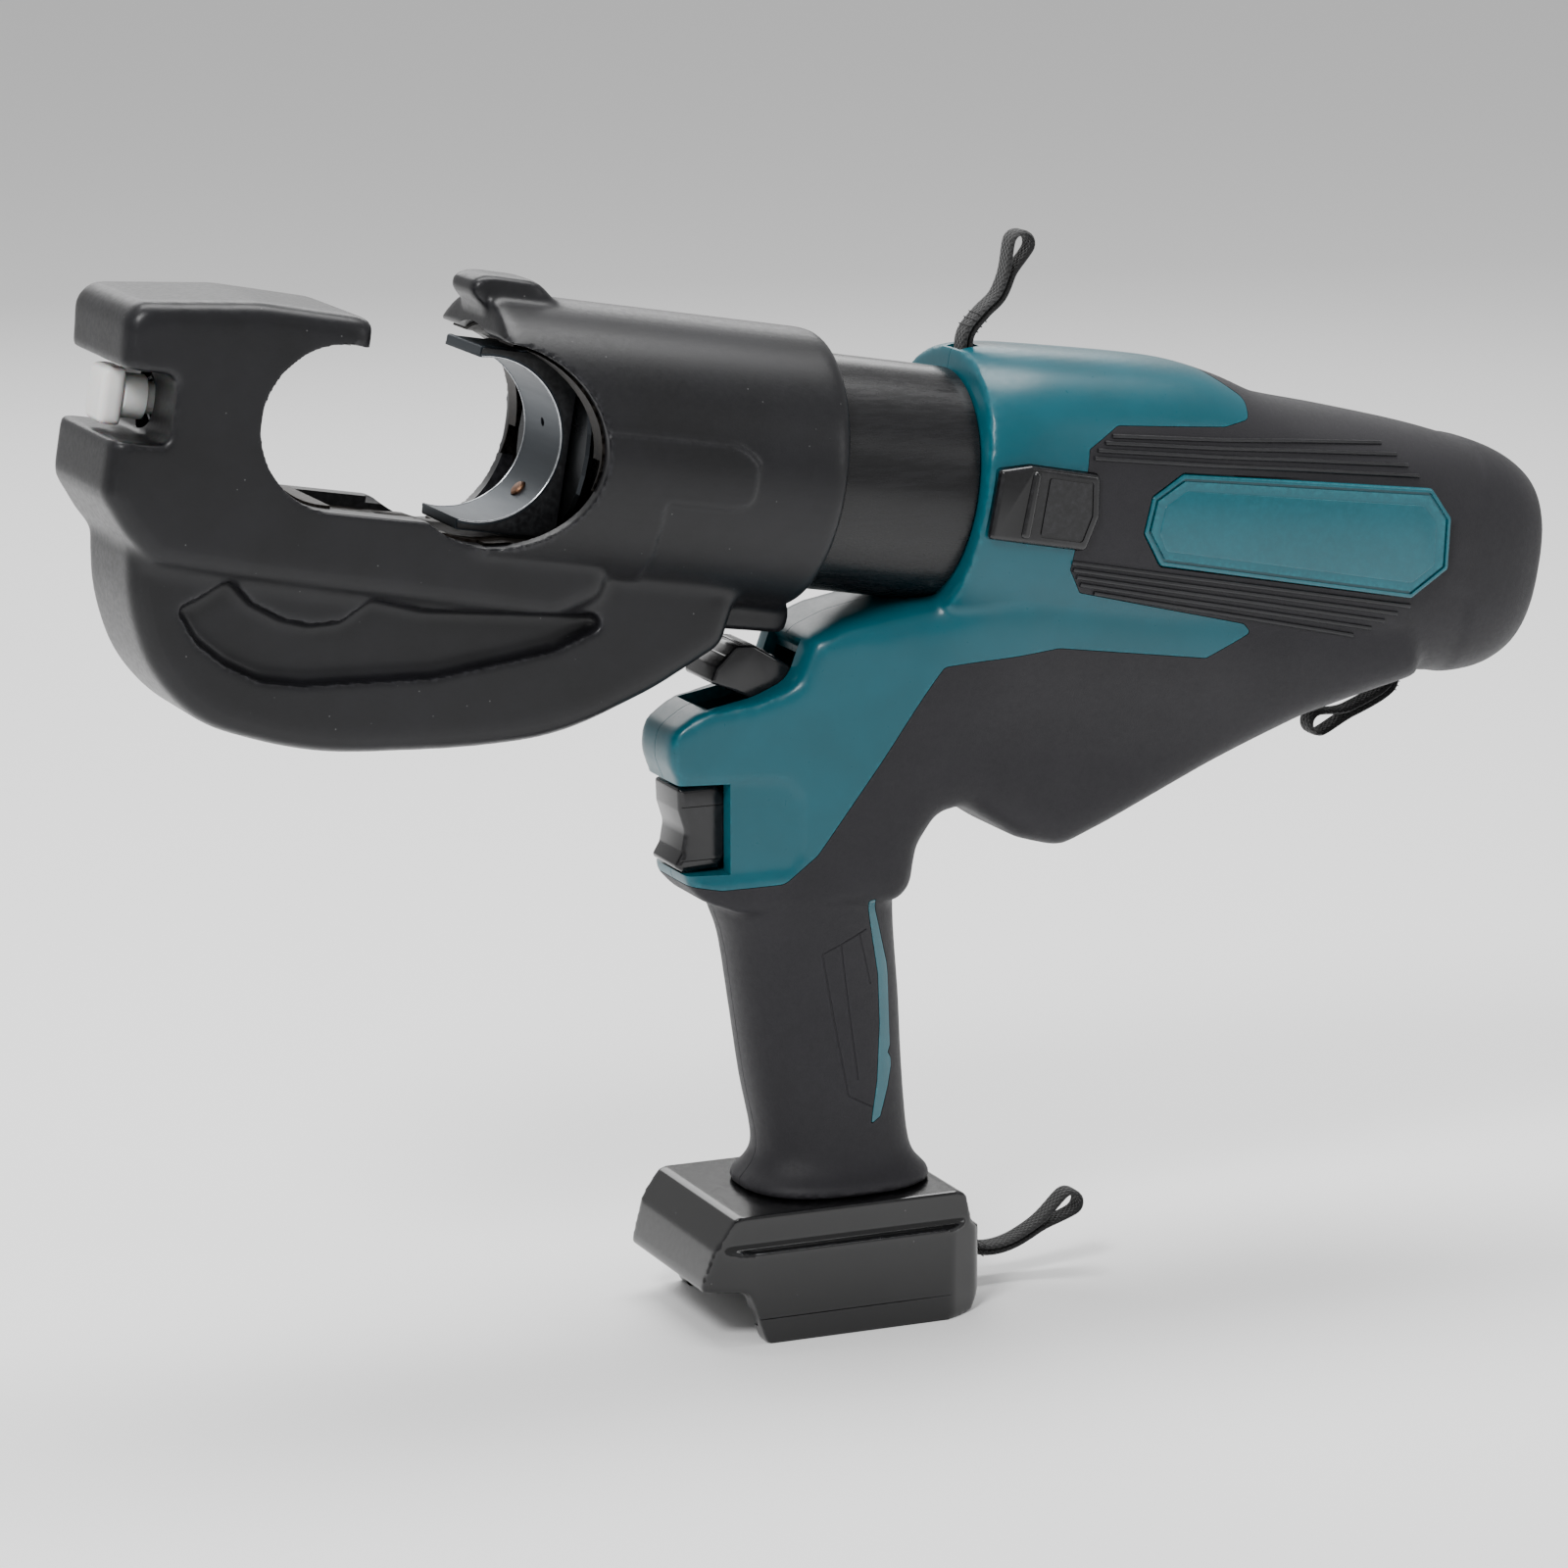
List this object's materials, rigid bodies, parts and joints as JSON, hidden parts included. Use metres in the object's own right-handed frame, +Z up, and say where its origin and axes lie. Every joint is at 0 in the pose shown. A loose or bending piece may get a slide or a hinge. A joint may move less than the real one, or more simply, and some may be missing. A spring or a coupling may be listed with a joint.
{
  "type": "cordless hydraulic crimping tool",
  "caption": "Pistol-grip cordless hydraulic crimping tool: swivelling C-shaped head with half-round die seats, ram, trigger, thumb release and slide-on battery foot.",
  "frame": {"origin": "centre of the bounding box on the ground plane, under the battery foot", "axes": "+X towards the tail of the motor barrel, -X is the nose of the head, +Z up with the foot level, +Y the right-hand side of the tool as it is held"},
  "size_m": [0.5089, 0.0952, 0.3552],
  "materials": {
    "cover_rubber": "satin black moulded rubber",
    "seal_rubber": "matt",
    "jaw_steel": "black oxide over forged steel",
    "ram_steel": "ground",
    "holder_steel": "ground steel with oil film",
    "detent_pin": "browned",
    "button_plastic": "white acetal",
    "spring_steel": "drawn wire",
    "housing_plastic": "fine texture, teal",
    "badge_plastic": "satin teal, no lettering",
    "overmould_elastomer": "matt black soft over-mould",
    "control_plastic": "satin black",
    "foot_plastic": "glossy black",
    "contact_brass": "bright",
    "pump_alloy": "machined",
    "winding_copper": "enamelled copper windings",
    "board_laminate": "green laminate",
    "strap_webbing": "black woven polyester webbing",
    "screw_steel": "black zinc"
  },
  "bodies": {
    "body": {"housing_left": "housing_plastic", "housing_right": "housing_plastic", "overmould_left": "overmould_elastomer", "overmould_right": "overmould_elastomer", "badge_left": "badge_plastic", "badge_right": "badge_plastic", "side_pad_left": "control_plastic", "side_pad_right": "control_plastic", "grip_accent_left": "badge_plastic", "grip_accent_right": "badge_plastic", "housing_screw_1": "screw_steel", "housing_screw_2": "screw_steel", "housing_screw_3": "screw_steel", "housing_screw_4": "screw_steel", "housing_screw_5": "screw_steel", "thrust_ring": "contact_brass", "pump_block": "pump_alloy", "relief_valve": "contact_brass", "oil_reservoir": "seal_rubber", "ring_gear": "ram_steel", "motor_stator": "winding_copper", "front_bearing": "ram_steel", "rear_bearing": "ram_steel", "controller_board": "board_laminate", "switch_body": "control_plastic", "trigger_spring": "spring_steel", "lever_pin": "ram_steel", "battery_foot": "foot_plastic", "terminal_block": "foot_plastic", "terminal_plus": "contact_brass", "terminal_minus": "contact_brass", "strap_loop_top": "strap_webbing", "strap_loop_tail": "strap_webbing", "strap_loop_foot": "strap_webbing"},
    "head": {"jaw_frame": "jaw_steel", "jaw_cover": "cover_rubber", "cylinder_barrel": "jaw_steel", "cylinder_sleeve": "cover_rubber", "button_spring": "spring_steel", "ram_return_spring": "spring_steel"},
    "ram": {"ram": "ram_steel", "ram_die_holder": "holder_steel", "piston_seal": "seal_rubber"},
    "detent": {"die_detent_pin": "detent_pin"},
    "button": {"die_release_button": "button_plastic", "button_stem": "button_plastic"},
    "trigger": {"trigger": "control_plastic"},
    "lever": {"release_lever": "control_plastic"},
    "rotor": {"motor_rotor": "ram_steel", "sun_pinion": "ram_steel", "cooling_fan": "foot_plastic"},
    "cam": {"eccentric_shaft": "ram_steel"},
    "planet_1": {"planet_gear_1": "ram_steel"},
    "planet_2": {"planet_gear_2": "ram_steel"},
    "planet_3": {"planet_gear_3": "ram_steel"},
    "plunger": {"pump_plunger": "ram_steel"}
  },
  "joints": [
    {"name": "head_swivel", "type": "hinge", "parent": "body", "child": "head", "pos_m": [-0.0008, 0, 0.2792], "axis": [-0.9863, 0, 0.165], "range_deg": [-175, 175]},
    {"name": "ram_slide", "type": "slide", "parent": "head", "child": "ram", "axis": [-0.9863, 0, 0.165], "range_m": [0, 0.038], "deforming": ["ram_return_spring"]},
    {"name": "die_detent_slide", "type": "slide", "parent": "ram", "child": "detent", "axis": [0.6756, 0, -0.7373], "range_m": [0, 0.0012], "stiffness_N_per_m": 400},
    {"name": "release_button_slide", "type": "slide", "parent": "head", "child": "button", "axis": [0.9863, 0, -0.165], "range_m": [0, 0.004], "stiffness_N_per_m": 600, "deforming": ["button_spring"]},
    {"name": "trigger_slide", "type": "slide", "parent": "body", "child": "trigger", "axis": [1, 0, 0], "range_m": [0, 0.006], "stiffness_N_per_m": 700, "deforming": ["trigger_spring"]},
    {"name": "release_lever_hinge", "type": "hinge", "parent": "body", "child": "lever", "pos_m": [-0.024, 0, 0.2115], "axis": [0, -1, 0], "range_deg": [0, 12], "stiffness_Nm_per_rad": 0.6},
    {"name": "rotor_spin", "type": "hinge", "parent": "body", "child": "rotor", "pos_m": [0.15701, 0, 0.25279], "axis": [0.9863, 0, -0.165], "continuous": true},
    {"name": "eccentric_spin", "type": "hinge", "parent": "body", "child": "cam", "pos_m": [0.0929, 0, 0.26352], "axis": [0.9863, 0, -0.165], "continuous": true},
    {"name": "plunger_stroke", "type": "slide", "parent": "body", "child": "plunger", "axis": [0.165, 0, 0.9863], "range_m": [0, 0.0012], "stiffness_N_per_m": 900},
    {"name": "planet_1_spin", "type": "hinge", "parent": "cam", "child": "planet_1", "pos_m": [0.10917, 0.014, 0.2608], "axis": [0.9863, 0, -0.165], "continuous": true},
    {"name": "planet_2_spin", "type": "hinge", "parent": "cam", "child": "planet_2", "pos_m": [0.11117, -0.007, 0.27276], "axis": [0.9863, 0, -0.165], "continuous": true},
    {"name": "planet_3_spin", "type": "hinge", "parent": "cam", "child": "planet_3", "pos_m": [0.10717, -0.007, 0.24884], "axis": [0.9863, 0, -0.165], "continuous": true}
  ],
  "couplings": [
    {"joint": "eccentric_spin", "follows": "rotor_spin", "ratio": 0.20803},
    {"joint": "planet_1_spin", "follows": "rotor_spin", "ratio": -0.56428},
    {"joint": "planet_2_spin", "follows": "rotor_spin", "ratio": -0.56428},
    {"joint": "planet_3_spin", "follows": "rotor_spin", "ratio": -0.56428}
  ]
}
